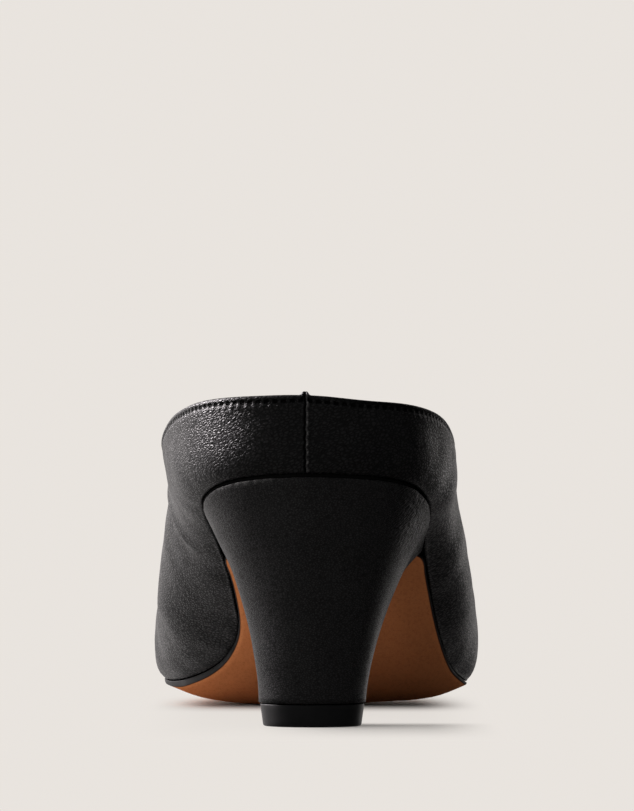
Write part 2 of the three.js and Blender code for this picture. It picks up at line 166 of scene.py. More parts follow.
# Looks of the leather. Turns are in degrees, and sizes and heights of grain are shares of its own
GRAIN_TURN = (0, -22, 0)
GRAIN_STRETCH = (1.8, 1.8, 1)
BROAD_GRAIN = 2.3
BROAD_HEIGHT = 0.45
PORE_SIZE = 0.28
PORE_HEIGHT = 0.18
PATCHES = 11 * MM
LEATHER_ROUGH = (0.34, 0.43)
WORN_ROUGH = 0.12
PLEAT_TURN = (58, -32, 0)
PLEAT_STRETCH = (1, 1, 0.28)
PLEAT_SIZE = 0.5 * MM
PLEAT_HEIGHT = 0.9 * MM
# Painted shade on the topline's fold: how far below the top it reaches, and over what way to the right it
# grows
FOLD_SHADE_BAND = (0.8 * MM, 1.1 * MM)
FOLD_LIT_WAY = 15 * MM

# Colours
UPPER_BLACK = (0.0066, 0.0064, 0.0067)
HEEL_BLACK = (0.0105, 0.0102, 0.0105)
# Painted shade: black in the grain's furrows, the stitch dents, the seam's groove and the right side of
# the fold
PAINTED_SHADE_BLACK = (0.0008, 0.0008, 0.0008)
# Painted highlight: light grey on the back seam's lip and on the heel's top lip
LIP_HIGHLIGHT_GREY = (0.14, 0.135, 0.135)
LINING_TONES = ((0.33, 0.2, 0.115), (0.43, 0.275, 0.165))
LINING_SPECK = (0.22, 0.13, 0.075)
TAN_TONES = ((0.43, 0.152, 0.057), (0.53, 0.195, 0.078))
TAN_FIBRE = (0.2, 0.075, 0.028)
TAN_SPECK = (0.13, 0.05, 0.02)
TAN_RIM = (0.03, 0.02, 0.016)
PAINT_BLACK = (0.0045, 0.0042, 0.0042)
RUBBER_BLACK = (0.0045, 0.0045, 0.005)
THREAD_BLACK = (0.003, 0.003, 0.003)
# Painted shade: the matte black of the upper's turned-in edge, darker than the leather, fills the gap
# above heel and sole
JOINT_SHADE_BLACK = (0.0015, 0.0015, 0.0015)
FLOOR_TONES = ((0.716, 0.682, 0.646), (0.722, 0.687, 0.651))
BACKDROP = (0.814, 0.775, 0.734)
ROOM_NEAR = (0.01, 0.01, 0.01)
ROOM_FAR = (1.1, 1.045, 1.03)

# Floor: its corners in metres, how much light it throws back on the left and right, a painted light on
# the left and painted shade on the right, and where its shade shows, near the shoe only and faintly under
# the arch
FLOOR_SIDES = (-20.0, 20.0)
FLOOR_ROWS = (-14.0, 0.0, 40.0)
BOUNCE_LEFT = 1.2
BOUNCE_RIGHT = 0.2
BOUNCE_TURN = (-50 * MM, 50 * MM)
SHADE_SIDES = (26 * MM, 45 * MM)
SHADE_BEHIND = (-190 * MM, -125 * MM)
SHADE_HEEL = (-95 * MM, -70 * MM)
SHADE_HEEL_SIDE = (-20 * MM, 10 * MM)
SHADE_BALL = (-12 * MM, 48 * MM)
SHADE_ARCH = 0.12

# Dome of light, and the room that shiny surfaces see in its place
DOME_ZENITH = 0.8
DOME_RIM = 1.2
DOME = 1.1 / (DOME_ZENITH + DOME_RIM / 6)
DOME_LEAN = (-0.45, 0.55, 0.0)
ROOM_WAY = (-0.26, 0.966, 0.0)
ROOM_SPREAD = (0.4, 1.0)
ROOM_RISE = (-0.9, -0.05, 0.45, 1.0)
ROOM_SIDE = (-0.2, 0.25, 1.0, 0.45)

# Wide sun that shiny surfaces don't see, and soft boxes that only they show: name, place, size,
# power and colour
SUN_FROM = (-0.8, -0.1, 0.6)
SUN_STRENGTH = 0.35
SUN_SPREAD = 40
LIT_PLACE = (0.0, -0.05, 0.05)
LIGHTS = [
    ("left_box", (-1.22, 0.55, 0.8), (0.65, 0.65), 60, (1.0, 0.93, 0.955)),
    ("right_box", (0.75, 1.3, 0.3), (0.8, 1.2), 2, (1.0, 0.96, 0.93)),
]

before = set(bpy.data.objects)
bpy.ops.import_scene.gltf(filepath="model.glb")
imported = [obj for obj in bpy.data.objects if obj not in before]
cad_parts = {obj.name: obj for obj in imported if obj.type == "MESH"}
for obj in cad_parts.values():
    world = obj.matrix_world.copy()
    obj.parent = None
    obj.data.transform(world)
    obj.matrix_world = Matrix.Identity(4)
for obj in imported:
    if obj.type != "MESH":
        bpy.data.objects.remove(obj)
cad_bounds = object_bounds()


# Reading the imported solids


def solid(node):
    """A CAD node as a bmesh with its shared points merged."""
    mesh = bmesh.new()
    mesh.from_mesh(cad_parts[node].data)
    bmesh.ops.remove_doubles(mesh, verts=mesh.verts, dist=MERGE)
    mesh.normal_update()
    return mesh


def patch_from(face, angle):
    """The faces reached from one face over edges that bend by less than angle."""
    patch = {face}
    edge_of_patch = [face]
    while edge_of_patch:
        smooth = [e for e in edge_of_patch.pop().edges if e.calc_face_angle(0) <= angle]
        fresh = {f for e in smooth for f in e.link_faces} - patch
        patch |= fresh
        edge_of_patch += fresh
    return patch


def band_beside(patch):
    """The faces outside a patch that touch it."""
    return {f for face in patch for v in face.verts for f in v.link_faces} - patch


def rims_of(patch):
    """The closed chains of points round a patch of faces."""
    edges = {e for f in patch for e in f.edges if sum(g in patch for g in e.link_faces) == 1}
    rims = []
    while edges:
        rim = list(edges.pop().verts)
        while step := next((e for e in rim[-1].link_edges if e in edges), None):
            edges.discard(step)
            rim.append(step.other_vert(rim[-1]))
        rims.append(rim[:-1])
    return rims


def turned(rim, way):
    """The same chain from its rearmost (way -1) or foremost (way 1) point, going towards +X first."""
    first = max(range(len(rim)), key=lambda i: rim[i].co.y * way)
    rim = rim[first:] + rim[:first]
    if rim[1].co.x < rim[-1].co.x:
        rim = rim[:1] + rim[:0:-1]
    return rim


def rings_from(rim, patch):
    """Rings of points across a band of triangles, from one of its rims to the other."""
    left = set(patch)
    rings = [rim]
    while left:
        ring = rings[-1]
        after = ring[1:] + ring[:1]
        third = []
        for a, b in zip(ring, after):
            edge = next(e for e in a.link_edges if e.other_vert(a) is b)
            face = next(f for f in edge.link_faces if f in left)
            third.append(next(v for v in face.verts if v is not a and v is not b))
        straight = sum((p.co - q.co).length for p, q in zip(third, ring))
        slanted = sum((p.co - q.co).length for p, q in zip(third, after))
        if slanted < straight:
            third = third[-1:] + third[:-1]
        both = set(ring) | set(third)
        left -= {f for f in left if all(v in both for v in f.verts)}
        rings.append(third)
    return np.array([[v.co for v in ring] for ring in rings])


# Curves, grids and meshes


def spline(points, knots, at, period=None):
    """Places along axis 0 of a smooth curve through points, which lie at knots."""
    if period:
        points = np.concatenate([points[-3:], points, points[:3]])
        knots = np.concatenate([knots[-3:] - period, knots, knots[:3] + period])
    slope = np.gradient(points, knots, axis=0)
    i = np.clip(np.searchsorted(knots, at, side="right") - 1, 0, len(knots) - 2)
    shape = (-1,) + (1,) * (points.ndim - 1)
    span = (knots[i + 1] - knots[i]).reshape(shape)
    u = (np.asarray(at) - knots[i]).reshape(shape) / span
    rest = 1 - u
    return (
        points[i] * (1 + 2 * u) * rest**2
        + points[i + 1] * (3 - 2 * u) * u**2
        + span * (slope[i] * u * rest**2 - slope[i + 1] * u**2 * rest)
    )


def spline_across(grid, knots, at, period=None):
    """The same from column to column of a grid."""
    return np.swapaxes(spline(np.swapaxes(grid, 0, 1), knots, at, period), 0, 1)


def lengths(points, axis):
    """Distance along the grid from its first row or column to each other one."""
    steps = np.linalg.norm(np.diff(points, axis=axis), axis=-1)
    zero = np.zeros_like(np.take(steps, [0], axis=axis))
    return np.cumsum(np.concatenate([zero, steps], axis=axis), axis=axis)


def unit(vectors):
    return vectors / np.maximum(np.linalg.norm(vectors, axis=-1, keepdims=True), 1e-12)


def column_places(period):
    """Places round the upper's wall, closer on both sides of the back seam, which is at 0."""
    near = np.array(SEAM_COLUMNS) * MM
    count = round((period - 2 * near[-1]) / COLUMN_STEP)
    middle = np.linspace(near[-1], period - near[-1], count + 1)[1:-1]
    return np.concatenate([near, middle, period - near[:0:-1]])


def grid_normals(grid):
    """Outward normals of a grid of rings: rows go up, columns round."""
    round_way = np.roll(grid, -1, axis=1) - np.roll(grid, 1, axis=1)
    return unit(np.cross(round_way, np.gradient(grid, axis=0)))


def bell(distance, width):
    return np.exp(-((distance / width) ** 2))


def falling(distance, reach):
    """1 at distance 0 and 0 from reach on, with a smooth fall between."""
    part = 1 - np.clip(distance / reach, 0, 1)
    return part * part * (3 - 2 * part)


def waves(points, size, seed):
    """Smooth random height for each point, between about -1 and 1."""
    flat = points.reshape(-1, 3) / size + seed
    return np.array([noise.noise(Vector(p)) for p in flat]).reshape(points.shape[:-1]) * 1.6


def read_pairs(pairs, at):
    """Reads pairs in mm as a curve: the second number at the place that the first one names."""
    places, amounts = np.array(pairs).T * MM
    return np.interp(at, places, amounts)


def drop_on(points, tree, upward, beyond=0.0):
    """Moves each point up or down onto a solid, coming from below or from above, and a bit beyond."""
    start = RAY_FROM_BELOW if upward else RAY_FROM_ABOVE
    way = Vector((0, 0, 1 if upward else -1))
    for point in points:
        hit = tree.ray_cast(Vector((point[0], point[1], start)), way)[0]
        if hit is not None:
            point[2] = hit.z + beyond


def link_object(name, data):
    thing = bpy.data.objects.new(name, data)
    bpy.context.scene.collection.objects.link(thing)
    return thing


def make_object(name, points, faces, slots, material_of_face=None, values=None):
    """A smooth mesh object. values are named numbers for each point, which materials read."""
    mesh = bpy.data.meshes.new(name)
    mesh.from_pydata([tuple(p) for p in np.reshape(points, (-1, 3))], [], faces)
    mesh.polygons.foreach_set("use_smooth", [True] * len(faces))
    for material in slots:
        mesh.materials.append(material)
    if material_of_face is not None:
        mesh.polygons.foreach_set("material_index", material_of_face)
    for key, numbers in (values or {}).items():
        layer = mesh.attributes.new(key, "FLOAT", "POINT")
        layer.data.foreach_set("value", np.asarray(numbers, dtype=np.float32).ravel())
    mesh.update()
    return link_object(name, mesh)


def index_loop(start, count):
    return list(range(start, start + count))


def loop_faces(loops):
    """Quads between each closed loop of point numbers and the next one."""
    faces = []
    for first, second in zip(loops, loops[1:]):
        for i in range(len(first)):
            n = (i + 1) % len(first)
            faces.append((first[i], first[n], second[n], second[i]))
    return faces


def ring_faces(rows, columns, closed_rows=False):
    """Quads of a grid of closed rings, whose last ring may also meet the first."""
    loops = [index_loop(row * columns, columns) for row in range(rows)]
    return loop_faces(loops + loops[:1] if closed_rows else loops)


# Materials


class Tree:
    """Short ways to add and join nodes in the node tree of a material or a world."""

    def __init__(self, owner):
        owner.use_nodes = True
        self.nodes = owner.node_tree.nodes
        self.links = owner.node_tree.links

    def fill(self, node, inputs):
        """Sets a node's inputs to numbers or colours, or joins the outputs of other nodes to them."""
        for key, value in inputs.items():
            socket = node.inputs[key]
            if isinstance(value, bpy.types.NodeSocket):
                self.links.new(value, socket)
            elif socket.type == "RGBA":
                socket.default_value = (*value, 1)
            else:
                socket.default_value = value

    def add(self, kind, inputs, **settings):
        """A new shader node with its settings, and with its inputs by name or number."""
        node = self.nodes.new("ShaderNode" + kind)
        for key, value in settings.items():
            setattr(node, key, value)
        self.fill(node, inputs)
        return node

    def coordinate(self, kind="Object"):
        return self.add("TexCoord", {}).outputs[kind]

    def axes(self, vector):
        return self.add("SeparateXYZ", {0: vector}).outputs

    def attribute(self, name):
        return self.add("Attribute", {}, attribute_name=name).outputs["Fac"]

    def math(self, operation, *values):
        return self.add("Math", dict(enumerate(values)), operation=operation).outputs[0]

    def times(self, first, second):
        return self.math("MULTIPLY", first, second)

    def distance(self, value, middle):
        return self.math("ABSOLUTE", self.math("SUBTRACT", value, middle))

    def dot(self, first, second):
        node = self.add("VectorMath", {0: first, 1: second}, operation="DOT_PRODUCT")
        return node.outputs["Value"]

    def ramp(self, value, low, high, out_low=0.0, out_high=1.0):
        """A smooth step from out_low, where the value is low, to out_high, where it is high."""
        inputs = {"Value": value, "From Min": low, "From Max": high}
        inputs |= {"To Min": out_low, "To Max": out_high}
        return self.add("MapRange", inputs, interpolation_type="SMOOTHSTEP").outputs["Result"]

    def mapping(self, place, turn, stretch, kind="POINT"):
        inputs = {"Vector": place, "Rotation": tuple(math.radians(a) for a in turn), "Scale": stretch}
        return self.add("Mapping", inputs, vector_type=kind).outputs[0]

    def noise(self, place, size, detail=2.0, rough=0.5, output="Fac"):
        inputs = {"Vector": place, "Scale": 1 / size, "Detail": detail, "Roughness": rough}
        return self.add("TexNoise", inputs).outputs[output]

    def pebbles(self, place, size, uneven):
        """Rounded cells of leather grain: 1 on a cell's crown and 0 in the furrow round it."""
        warp = self.noise(place, size * 2.2, output="Color")
        inputs = {0: warp, 1: (size * 0.7,) * 3, 2: place}
        shifted = self.add("VectorMath", inputs, operation="MULTIPLY_ADD").outputs[0]
        inputs = {"Vector": shifted, "Scale": 1 / size, "Randomness": uneven}
        cells = self.add("TexVoronoi", inputs, feature="DISTANCE_TO_EDGE")
        return self.ramp(cells.outputs["Distance"], 0.0, 0.32)

    def mix(self, share, low, high):
        return self.add("Mix", {0: share, 6: low, 7: high}, data_type="RGBA").outputs[2]

    def bump(self, height, distance, strength=1.0, before=None):
        inputs = {"Distance": distance, "Strength": strength, "Height": height}
        if before is not None:
            inputs["Normal"] = before
        return self.add("Bump", inputs).outputs["Normal"]


def material(name):
    """A new material, its tree and its shader."""
    mat = bpy.data.materials.new(name)
    tree = Tree(mat)
    return mat, tree, tree.nodes["Principled BSDF"]


def dress(tree, shader, tone, rough, normal):
    tree.fill(shader, {"Base Color": tone, "Roughness": rough, "Normal": normal})


def leather(name, grain, depth, color, shine=0.5, stitched=False):
    """Black leather: grain is the size of its cells and depth how deep their furrows are.

    It is stitched along the topline, or else pleated where a point's pleated value says so.
    """
    mat, tree, shader = material(name)
    place = tree.coordinate()
    slant = tree.mapping(place, GRAIN_TURN, GRAIN_STRETCH, "TEXTURE")
    cells = tree.pebbles(slant, grain, 0.95)
    broad = tree.pebbles(slant, grain * BROAD_GRAIN, 1.0)
    pores = tree.noise(place, grain * PORE_SIZE, 2.0, 0.6)
    patches = tree.noise(place, PATCHES, 3.0, 0.55)
    tone = tree.mix(patches, color, tuple(c * 1.7 for c in color))
    # Painted highlight: light grey where a point's lip value says so
    tone = tree.mix(tree.attribute("lip_highlight"), tone, LIP_HIGHLIGHT_GREY)
    # Painted shade: the grain's furrows, and in stitched leather the dents, the seam's groove and the
    # fold's right side, get less shine and turn black
    furrow = tree.math("MULTIPLY_ADD", cells, 0.6, 0.4)
    gloss = tree.times(furrow, shine)
    height = tree.math("MULTIPLY_ADD", broad, BROAD_HEIGHT, cells)
    height = tree.math("MULTIPLY_ADD", pores, PORE_HEIGHT, height)
    normal = tree.bump(height, depth)
    if stitched:
        dent, normal = stitch_dents(tree, normal)
        lit = lit_share(tree, place, dent)
        gloss = tree.times(gloss, lit)
        furrow = tree.times(furrow, lit)
    else:
        normal = tree.bump(pleats(tree, place), PLEAT_HEIGHT, before=normal)
    rough = tree.ramp(patches, 0.3, 0.7, *LEATHER_ROUGH)
    worn = tree.math("SUBTRACT", 1.0, cells)
    rough = tree.math("MULTIPLY_ADD", worn, WORN_ROUGH, rough)
    # Painted shade: black where furrow is low
    tone = tree.mix(furrow, PAINTED_SHADE_BLACK, tone)
    dress(tree, shader, tone, rough, normal)
    tree.fill(shader, {"Specular IOR Level": gloss})
    shader.inputs["IOR"].default_value = 1.5
    return mat


def pleats(tree, place):
    """Fine slanting pleats where the leather is pulled round a corner."""
    turn = tree.mapping(place, PLEAT_TURN, (1, 1, 1))
    stretch = tree.mapping(turn, (0, 0, 0), PLEAT_STRETCH)
    return tree.times(tree.noise(stretch, PLEAT_SIZE, 1.0, 0.4), tree.attribute("pleated"))


def stitch_dents(tree, normal):
    """Dents that the stitches pull into the leather along the topline, and the normal with them."""
    below = tree.attribute("below")
    turns = tree.math("DIVIDE", tree.attribute("along"), STITCH_PITCH)
    off = tree.distance(tree.math("FRACT", turns), 0.5)
    dash = tree.ramp(off, *DENT_HALF, 1.0, 0.0)
    track = tree.ramp(tree.distance(below, STITCH_BELOW), *TRACK_HALF, 1.0, 0.0)
    dent = tree.times(dash, track)
    swell = tree.ramp(tree.distance(below, STITCH_BELOW + SWELL), 0.0, SWELL, 1.0, 0.0)
    swell = tree.times(swell, tree.ramp(off, 0.1, 0.5))
    height = tree.math("MULTIPLY_ADD", dent, -1.0, 1.0)
    height = tree.math("MULTIPLY_ADD", swell, 0.5, height)
    return dent, tree.bump(height, DENT_DEPTH, before=normal)


def lit_share(tree, place, dent):
    """How much colour and shine are left where painted shade falls: in the dents, on the right side of
    the fold and in the seam's groove.
    """
    lit = tree.math("MULTIPLY_ADD", dent, -0.93, 1.0)
    # Painted shade on the fold's band above the stitches, growing towards the right
    folded = tree.ramp(tree.attribute("below"), *FOLD_SHADE_BAND, 0.85, 0.0)
    on_right = tree.ramp(tree.axes(place)["X"], 0.0, FOLD_LIT_WAY)
    folded = tree.times(folded, on_right)
    painted_shade = tree.math("MAXIMUM", folded, tree.attribute("groove"))
    return tree.times(lit, tree.math("SUBTRACT", 1.0, painted_shade))


def make_lining():
    """Smooth natural lining leather, a little worn and uneven in colour."""
    mat, tree, shader = material("lining")
    place = tree.coordinate()
    patches = tree.noise(place, 16 * MM, 4.0, 0.6)
    specks = tree.noise(place, 0.9 * MM, 2.0, 0.6)
    tone = tree.mix(patches, *LINING_TONES)
    tone = tree.mix(tree.times(specks, 0.3), tone, LINING_SPECK)
    pores = tree.noise(place, 0.35 * MM, 3.0, 0.6)
    height = tree.math("MULTIPLY_ADD", pores, 0.6, tree.pebbles(place, 0.5 * MM, 1.0))
    rough = tree.ramp(patches, 0.2, 0.8, 0.55, 0.72)
    dress(tree, shader, tone, rough, tree.bump(height, 0.02 * MM))
    return mat


def make_tan():
    """Waxed tan sole leather with long fibres, pores and a dark rim."""
    mat, tree, shader = material("sole_tan")
    place = tree.coordinate()
    patches = tree.noise(place, 24 * MM, 4.0, 0.6)
    specks = tree.noise(place, 0.6 * MM, 3.0, 0.65)
    fibres = tree.noise(tree.mapping(place, (0, 0, 0), (1, 0.16, 1)), 0.8 * MM, 4.0, 0.7)
    tone = tree.mix(patches, *TAN_TONES)
    tone = tree.mix(tree.ramp(fibres, 0.42, 0.75, 0.0, 0.3), tone, TAN_FIBRE)
    tone = tree.mix(tree.ramp(specks, 0.56, 0.7, 0.0, 0.3), tone, TAN_SPECK)
    rim = tree.ramp(tree.attribute("from_edge"), 0.1 * MM, 0.4 * MM)
    height = tree.math("MULTIPLY_ADD", specks, 0.5, fibres)
    tone = tree.mix(rim, TAN_RIM, tone)
    rough = tree.ramp(fibres, 0.3, 0.7, 0.38, 0.52)
    dress(tree, shader, tone, rough, tree.bump(height, 0.03 * MM, 0.8))
    shader.inputs["Specular IOR Level"].default_value = 0.0
    return mat


def plain(name, color, rough, grain, depth, shine):
    """Paint, rubber or thread: one colour with a fine uneven surface."""
    mat, tree, shader = material(name)
    place = tree.coordinate()
    patches = tree.noise(place, 5 * MM, 3.0, 0.6)
    fine = tree.noise(place, grain, 3.0, 0.6)
    tone = tree.mix(patches, color, tuple(c * 1.6 for c in color))
    rough = tree.ramp(patches, 0.2, 0.8, rough - 0.06, rough + 0.08)
    dress(tree, shader, tone, rough, tree.bump(fine, depth, 0.8))
    shader.inputs["Specular IOR Level"].default_value = shine
    return mat


upper_leather = leather("upper_leather", 0.65 * MM, 0.07 * MM, UPPER_BLACK, stitched=True)
heel_leather = leather("heel_leather", 0.4 * MM, 0.03 * MM, HEEL_BLACK, shine=0.2)
lining_leather = make_lining()
tan = make_tan()
edge_paint = plain("edge_paint", PAINT_BLACK, 0.55, 0.3 * MM, 0.02 * MM, shine=0.2)
rubber = plain("lift_rubber", RUBBER_BLACK, 0.5, 0.25 * MM, 0.025 * MM, shine=0.2)
thread = plain("thread", THREAD_BLACK, 0.6, 0.12 * MM, 0.03 * MM, shine=0.12)
# Partly the upper's own turned-in edge and partly painted shade: matte black, darker than the leather, in
# the joint
joint_shade = plain("joint_shade", JOINT_SHADE_BLACK, 0.8, 0.3 * MM, 0.02 * MM, shine=0.03)


# Upper


def wall_grid(patch):
    """Rings of one side of the upper's wall, from its bottom edge up, each starting at the back seam."""
    low = min(rims_of(patch), key=lambda rim: sum(v.co.z for v in rim) / len(rim))
    grid = rings_from(low, patch)
    grid = np.roll(grid, -int(grid[-1, :, 2].argmax()), axis=1)
    if grid[0, 3, 0] < grid[0, -3, 0]:
        grid = np.roll(grid[:, ::-1], 1, axis=1)
    return grid


def read_upper():
    """The upper's outer and inner wall as grids of points."""
    mesh = solid("upper")
    left = set(mesh.faces)
    patches = []
    while left:
        patch = patch_from(next(iter(left)), WALL_BEND)
        left -= patch
        patches.append(patch)
    wall = sorted(patches, key=len)[-2]
    walls = (wall, set(mesh.faces) - wall - band_beside(wall))
    grids = sorted((wall_grid(p) for p in walls), key=lambda g: np.ptp(g[..., 0]), reverse=True)
    mesh.free()
    return grids


def at_heights(grid, heights, arcs):
    """Points of each column at the given distances up it."""
    result = np.empty(heights.shape + (3,))
    for i in range(grid.shape[1]):
        for axis in range(3):
            result[:, i, axis] = np.interp(heights[:, i], arcs[:, i], grid[:, i, axis])
    return result


def distance_to_path(points, path):
    """Distance of each point from a chain of straight pieces, and how far along it that is."""
    best = np.full(points.shape[:-1], 1e9)
    share = np.zeros(points.shape[:-1])
    for n, (a, b) in enumerate(zip(path, path[1:])):
        way = b - a
        t = np.clip(((points - a) @ way) / (way @ way), 0, 1)
        gap = np.linalg.norm(points - (a + t[..., None] * way), axis=-1)
        nearer = gap < best
        best = np.where(nearer, gap, best)
        share = np.where(nearer, (n + t) / (len(path) - 1), share)
    return best, share


def back_drop(points):
    """How much lower the joint between upper and heel lies in the photograph than in the solids."""
    return BACK_DROP * np.clip((BACK_FROM - points[..., 1]) / BACK_REACH, 0, 1)


def ball_drop(points):
    """How much lower the edge of the sole lies beside the ball in the photograph than in the solids."""
    amount = np.where(points[..., 0] > 0, BALL_DROP_RIGHT, BALL_DROP_LEFT)
    aside = 1 - falling(np.abs(points[..., 0]) - 12 * MM, 18 * MM)
    return amount * aside * bell(points[..., 1] - BALL_AT, BALL_REACH)


def set_sides(grid):
    """Moves the wall's sides a little in or out, to the outline in the photograph."""
    x, y, z = grid[..., 0], grid[..., 1], grid[..., 2]
    out = np.where(x > 0, read_pairs(SIDE_RIGHT, z), -read_pairs(SIDE_LEFT, z))
    reach = falling(-85 * MM - y, 20 * MM) * falling(y - 40 * MM, 30 * MM)
    aside = 1 - falling(np.abs(x) - 8 * MM, 16 * MM)
    grid[..., 0] += out * reach * aside


def seam_bites(below):
    """How far the scallops of the back seam's lip reach to the right, from 0 to 1."""
    return 0.5 + 0.5 * np.cos(2 * math.pi * below / SEAM_PITCH)


def upper_relief(points, below, seam):
    """How far the leather stands out from the plain wall. seam is the distance right of the back seam."""
    out = sum(high * MM * bell(below - at * MM, wide * MM) for high, at, wide in TOPLINE_ROLLS)
    soft = 1 - bell(below, STIFF_BAND)
    out += soft * sum(high * MM * waves(points, size * MM, seed) for high, size, seed in UPPER_WAVES)
    for path, high, wide in CREASES:
        gap, share = distance_to_path(points, np.array(path) * MM)
        strength = np.sin(math.pi * np.clip(share, 0.04, 0.96)) ** 0.6
        out += high * MM * strength * bell(gap, wide * MM)
    out *= 1 - bell(seam, SEAM_CLEAR)
    bites = seam_bites(below)
    out += SEAM_RAISE * SEAM_ROLL * bell(seam - 0.25 * MM, SEAM_HALF)
    out += LIP_RAISE * bell(seam - (0.3 + 0.26 * bites) * MM, LIP_HALF) * (0.4 + 0.6 * bites)
    out -= GROOVE_DEPTH * bell(seam + (0.1 - 0.22 * bites) * MM, LIP_HALF)
    return out


def seam_marks(below, seam):
    """Where the back seam's right lip gets a painted highlight, and where its groove gets painted shade,
    from 0 to 1.
    """
    bites = seam_bites(below)
    fade = 0.4 + 0.6 * np.exp(-below / (9 * MM))
    lip = bell(seam - (0.3 + 0.26 * bites) * MM, 0.26 * MM) * (0.25 + 0.75 * bites) * fade
    groove = 0.9 * bell(seam + (0.3 - 0.3 * bites) * MM, 0.3 * MM)
    return lip, groove


def upper_walls():
    """Fine grids of the outer and the inner wall, and each column's distance right of the back seam."""
    outer, inner = read_upper()
    chords = np.linalg.norm(np.roll(outer, -1, axis=1) - outer, axis=-1).mean(0)
    period = chords.sum()
    knots = np.concatenate([[0], np.cumsum(chords)[:-1]])
    keep = (knots > CAD_SEAM_REACH) & (knots < period - CAD_SEAM_REACH)
    places = column_places(period)
    seam = np.where(places < period / 2, places, places - period)
    rows = np.arange(len(outer))
    dense = np.linspace(0, len(outer) - 1, WALL_ROWS)
    walls = []
    for grid in (outer, inner):
        grid = spline_across(grid[:, keep], knots[keep], places, period)
        grid = spline(grid, rows, dense)
        near = np.clip(1 - lengths(grid, 0) / DROP_REACH, 0, 1)
        grid[..., 2] -= (back_drop(grid) + ball_drop(grid)) * near**2
        set_sides(grid)
        walls.append(grid)
    return walls, seam


def rounded(edge, up, out, size, angle):
    """A row of points on the round that takes a sharp edge's place."""
    return edge - up * size * (1 - math.sin(angle)) - out * size * (1 - math.cos(angle))


def fold_rows(wall, lining_wall, relief, peak):
    """The round folded topline between the outer leather and the lining."""
    up = unit(wall[-1] - wall[-4])
    across = unit(wall[-1] - lining_wall[-1])
    turns = np.linspace(0, math.pi / 2, FOLD_ROWS + 1)[1:]
    fold = [rounded(wall[-1], up, across, WALL_TOP_ROUND, a) for a in turns]
    fold += [rounded(lining_wall[-1], up, -across, WALL_TOP_ROUND, a) for a in turns[::-1]]
    fold = np.array(fold)
    fold += relief[None] * np.linspace(1, 0, len(fold))[:, None, None]
    fold[..., 2] += peak
    return fold


def make_upper():
    (wall, lining_wall), seam = upper_walls()
    arcs = lengths(wall, 0)
    full = arcs[-1]

    # Outer leather from the bottom edge up to the topline
    share = np.linspace(0, 1, LOWER_ROWS)[:, None]
    low_rows = WALL_BOTTOM_ROUND + share * (full - TOP_BAND - WALL_BOTTOM_ROUND)
    top_rows = full - np.array(TOP_ROWS)[:, None] * MM
    heights = np.concatenate([low_rows, top_rows])
    skin = at_heights(wall, heights, arcs)
    normals = grid_normals(skin)
    stitch_line = at_heights(wall, full[None] - STITCH_BELOW, arcs)[0]
    steps = np.linalg.norm(np.roll(stitch_line, -1, axis=0) - stitch_line, axis=-1)
    way = np.concatenate([[0], np.cumsum(steps)])
    below = full - heights
    relief = upper_relief(skin, below, seam[None])[..., None] * normals
    peak = SEAM_PEAK * np.exp(-(((seam + 0.1 * MM) / (1.2 * SEAM_HALF)) ** 4))
    at_corner = falling(30 * MM + wall[-1, :, 0], 20 * MM)
    peak += (TOP_RAISE + CORNER_RAISE * at_corner) * back_drop(wall[-1]) / BACK_DROP
    skin += relief
    skin[..., 2] += peak[None] * bell(below, 2 * MM)
    fold = fold_rows(wall, lining_wall, relief[-1], peak)

    # Lining, from the topline down, and the turned-in bottom edge
    lining_arcs = lengths(lining_wall, 0)
    depths = np.linspace(0, 1, LINING_ROWS)[:, None] ** 1.3
    lining_heights = (lining_arcs[-1] - WALL_TOP_ROUND) * (1 - depths)
    inside = at_heights(lining_wall, lining_heights, lining_arcs)
    down = unit(wall[0] - wall[3])
    outward = unit(wall[0] - lining_wall[0])
    turns = np.linspace(math.pi / 2, 0, HEM_ROWS + 1)[:-1]
    hem = [rounded(wall[0], down, outward, WALL_BOTTOM_ROUND, a) for a in turns]

    grid = np.concatenate([skin, fold, inside, hem])
    rows, columns = grid.shape[:2]
    faces = ring_faces(rows, columns, True)
    fold_from = len(skin)
    fold_to = fold_from + len(fold)
    lining_from = fold_from + len(fold) // 2 + 2
    lining_to = fold_to + len(inside) - 1
    slot_of_face = [int(lining_from <= n // columns < lining_to) for n in range(len(faces))]
    values = {key: np.zeros((rows, columns)) for key in ("along", "below", "lip_highlight", "groove")}
    values["along"][:] = np.minimum(way[:-1], way[-1] - way[:-1])
    values["below"][:fold_from] = below
    values["below"][fold_to:] = FAR
    # The seam's lip gets a painted highlight and its groove painted shade
    values["lip_highlight"][:fold_from], values["groove"][:fold_from] = seam_marks(below, seam[None])
    piece = make_object("upper_skin", grid, faces, [upper_leather, lining_leather], slot_of_face, values)
    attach(piece, "root")
    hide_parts("upper")
    make_margin(wall[0], lining_wall[0], back_drop(wall[0]) + ball_drop(wall[0]))
    make_stitches(stitch_line, way, normals[STITCH_ROW])


def make_margin(rim, inner_rim, rim_drop):
    """The upper's lower edge turned in under the insole, a strip in the joint above heel and sole, matte
    and darker than the leather as painted shade in the gap.
    """
    mesh = solid("insole")
    tree = BVHTree.FromBMesh(mesh)
    mesh.free()
    inward = unit((inner_rim - rim) * (1, 1, 0))
    rows = []
    for reach in MARGIN_REACHES:
        row = rim + inward * reach * MM
        drop_on(row, tree, True, -0.1 * MM)
        row[:, 2] -= rim_drop
        rows.append(row)
    edge = rim + inward * 0.2 * MM
    top = np.array([edge + (0, 0, 0.7 * MM), edge, edge - (0, 0, 0.5 * MM)] + rows)
    grid = np.concatenate([top, top[:0:-1] + (0, 0, 0.1 * MM) + inward * 0.3 * MM])
    faces = [face[::-1] for face in ring_faces(*grid.shape[:2], True)]
    piece = make_object("upper_margin", grid, faces, [joint_shade])
    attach(piece, "root")


